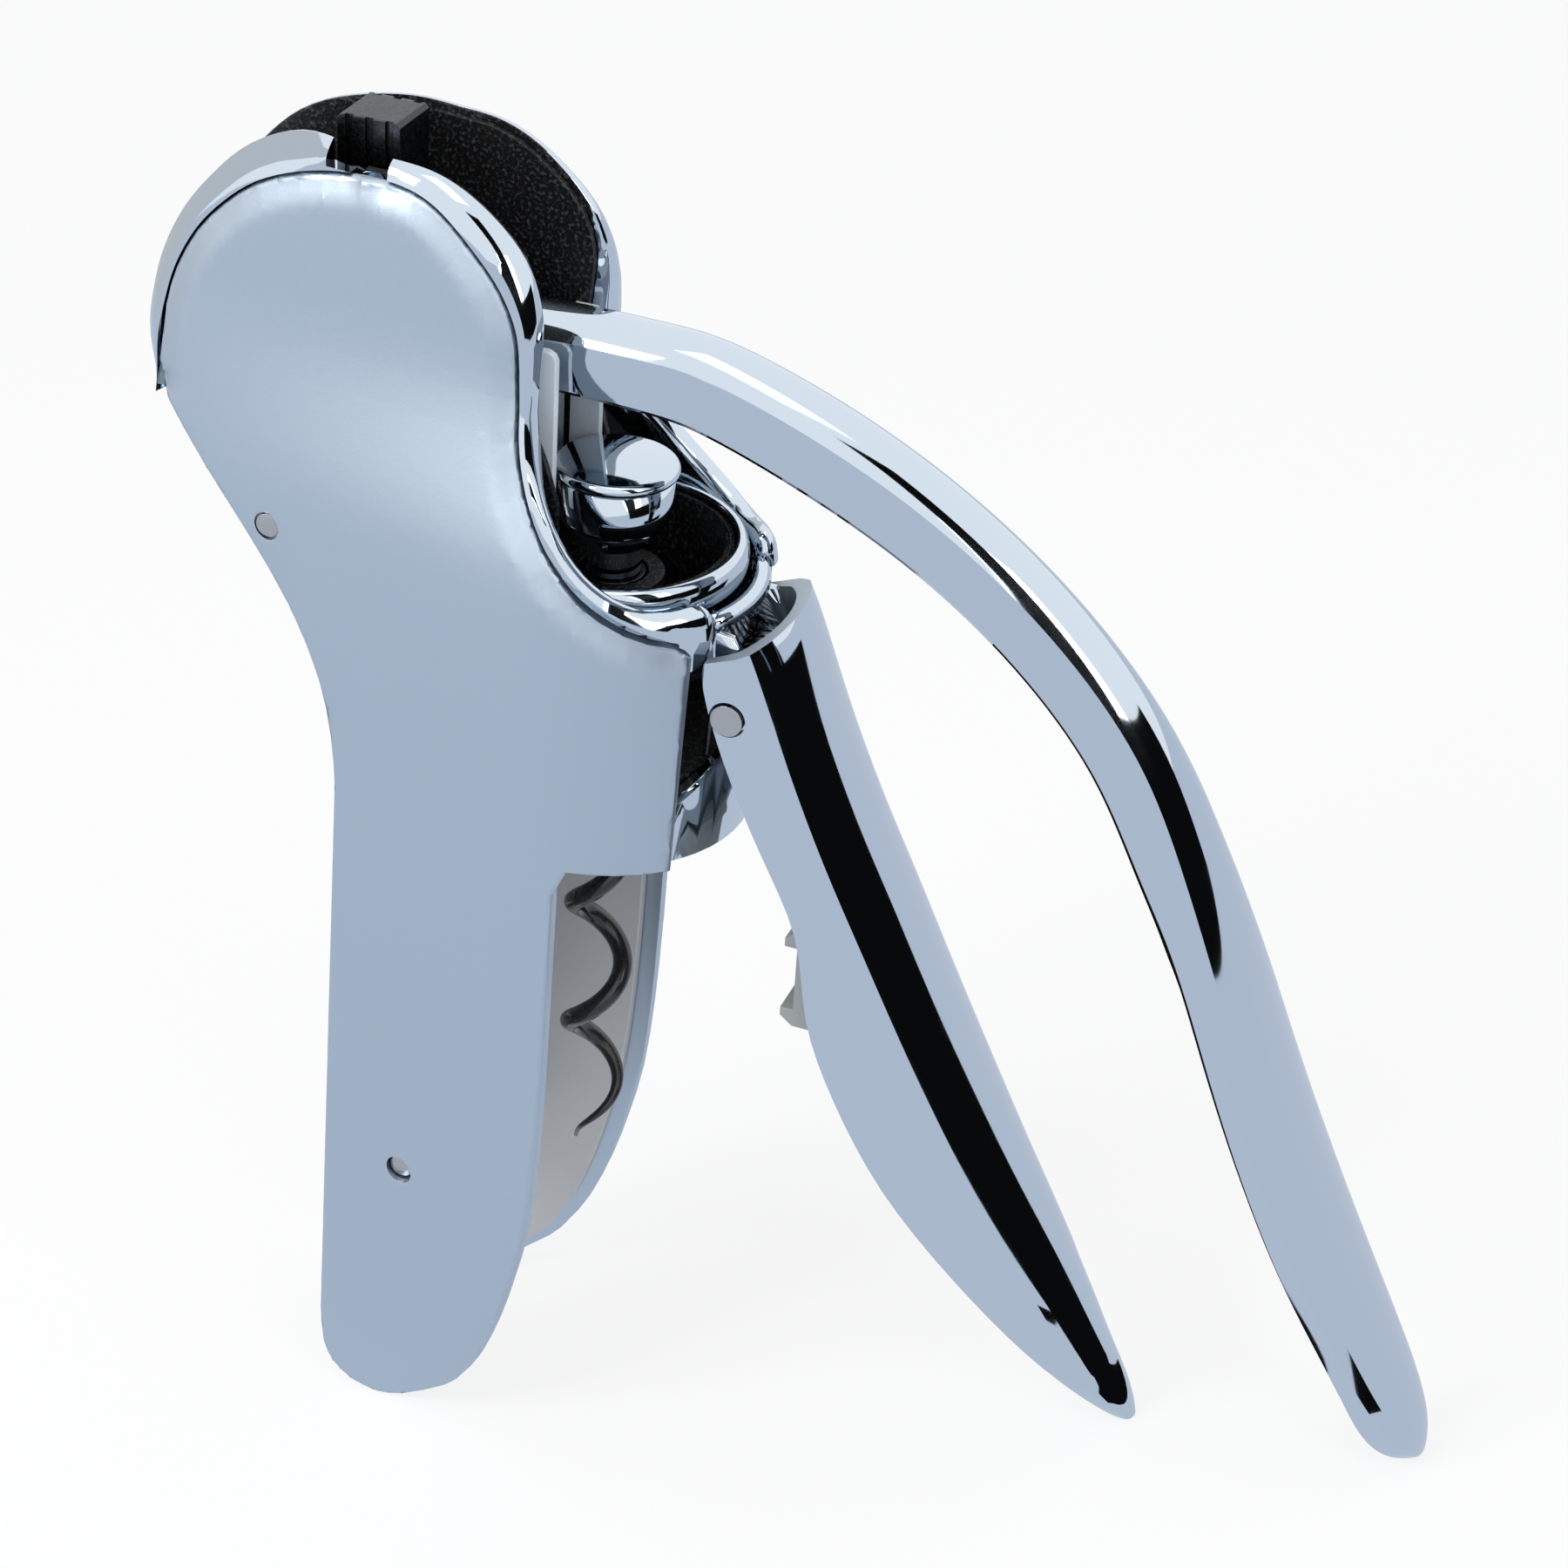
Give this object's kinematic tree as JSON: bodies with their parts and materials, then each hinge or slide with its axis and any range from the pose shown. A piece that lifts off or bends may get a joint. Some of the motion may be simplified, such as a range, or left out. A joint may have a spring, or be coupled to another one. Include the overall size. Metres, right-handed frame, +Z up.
{
  "type": "wine opener",
  "caption": "Upright lever wine opener: a geared side lever lifts a rack with the worm while a sprung grip clamps the bottle's neck.",
  "frame": {"origin": "centre of the standing opener's bounding box, on the surface it stands on", "axes": "+Z up, +X from the legs towards the lever's tip, -Y the near side cover; the barrel leans 11.33 degrees towards +X"},
  "size_m": [0.1546, 0.043, 0.1829],
  "materials": {
    "polished_chrome": "mirror-polished plating",
    "satin_chrome": "fine satin plating, slightly blue",
    "lining_metal": "matt grey-beige",
    "dark_cast": "black, slightly textured",
    "black_coated_steel": "black non-stick coating",
    "steel": "plain machined steel",
    "brass": "plain machined brass",
    "grey_plastic": "fine matt grain"
  },
  "bodies": {
    "frame": {"near_cover": "satin_chrome", "far_cover": "satin_chrome", "near_frame": "polished_chrome", "far_frame": "polished_chrome", "near_lining": "lining_metal", "far_lining": "lining_metal", "near_rivet": "steel", "far_rivet": "steel", "lower_cross_pin": "steel", "neck_saddle": "grey_plastic", "back_plate": "lining_metal", "lever_axle": "steel", "near_hub_bush": "brass", "far_hub_bush": "brass", "near_guide_cheek": "satin_chrome", "far_guide_cheek": "satin_chrome", "near_shell": "dark_cast", "far_shell": "dark_cast", "mouth_ring": "polished_chrome", "mouth_sleeve": "dark_cast", "barrel_liner": "polished_chrome", "nut_housing": "dark_cast", "worm_nut": "brass", "nut_ring": "steel", "front_collar": "polished_chrome", "grip_pin": "steel", "grip_spring": "steel"},
    "lever": {"lever_arm": "polished_chrome", "gear_sector": "steel"},
    "carrier": {"carrier": "dark_cast", "rack": "steel", "spindle_bush": "brass"},
    "worm": {"worm": "black_coated_steel", "spindle_clip": "steel", "knob_stem": "polished_chrome", "knob_cap": "polished_chrome"},
    "grip": {"grip_handle": "polished_chrome", "jaw_pad": "grey_plastic"}
  },
  "joints": [
    {"name": "lever_lift", "type": "hinge", "parent": "frame", "child": "lever", "pos_m": [-0.04624, 0, 0.1519], "axis": [0, -1, 0], "range_deg": [0, 150]},
    {"name": "carrier_slide", "type": "slide", "parent": "frame", "child": "carrier", "axis": [0.1965, 0, 0.9805], "range_m": [0, 0.0482]},
    {"name": "worm_spin", "type": "hinge", "parent": "carrier", "child": "worm", "pos_m": [-0.02036, 0, 0.11815], "axis": [0.1965, 0, 0.9805], "range_deg": [0, 903.71]},
    {"name": "grip_squeeze", "type": "hinge", "parent": "frame", "child": "grip", "pos_m": [-0.00163, 0, 0.10879], "axis": [0, 1, 0], "range_deg": [0, 20], "stiffness_Nm_per_rad": 0.12, "springref_deg": -40.11}
  ],
  "couplings": [
    {"joint": "carrier_slide", "follows": "lever_lift", "m_per_rad": 0.0184},
    {"joint": "worm_spin", "follows": "lever_lift", "ratio": 6.0214}
  ]
}
